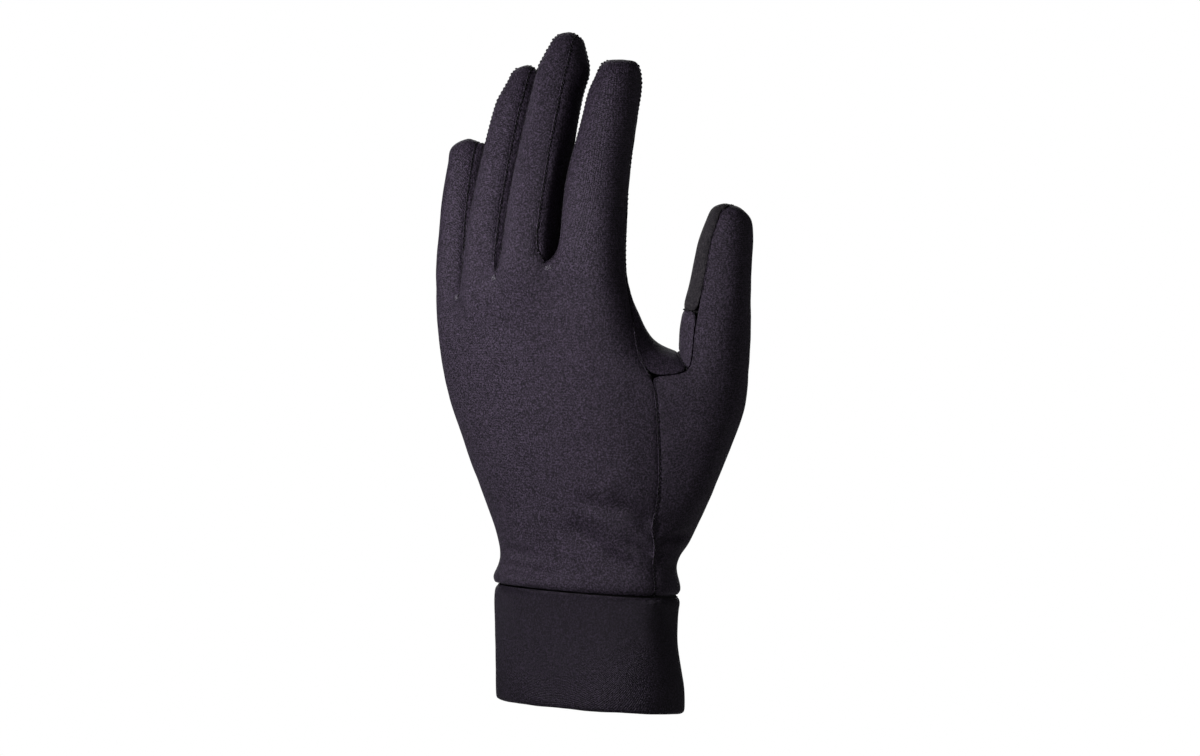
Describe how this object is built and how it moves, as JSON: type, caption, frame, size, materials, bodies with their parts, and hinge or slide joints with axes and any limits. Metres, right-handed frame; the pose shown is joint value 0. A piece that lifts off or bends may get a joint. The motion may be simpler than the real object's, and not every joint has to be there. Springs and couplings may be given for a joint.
{
  "type": "glove liner",
  "caption": "Close-fitting knit glove liner for a left hand, shown worn, with finger side strips, touch patches and a deep folded cuff.",
  "frame": {"origin": "middle of the cuff opening, where the hand goes in", "axes": "+Z to the fingertips, +X to the thumb side, -Y out of the back of the hand, +Y out of the palm"},
  "size_m": [0.1203, 0.0643, 0.2497],
  "materials": {
    "hand_knit": "fine stretch knit, matt, near black with a violet cast",
    "cuff_knit": "fine stretch knit folded double, matt, near black",
    "touch_knit": "conductive fine knit, matt, neutral dark grey"
  },
  "bodies": {
    "root": {"cuff_band": "cuff_knit", "back_panel": "hand_knit", "palm_panel": "hand_knit", "fourchette_index_middle": "hand_knit", "fourchette_middle_ring": "hand_knit", "fourchette_ring_little": "hand_knit", "thumb_outer_panel": "hand_knit", "thumb_inner_panel": "hand_knit", "thumb_touch_panel": "touch_knit", "index_touch_panel": "touch_knit"}
  },
  "joints": []
}
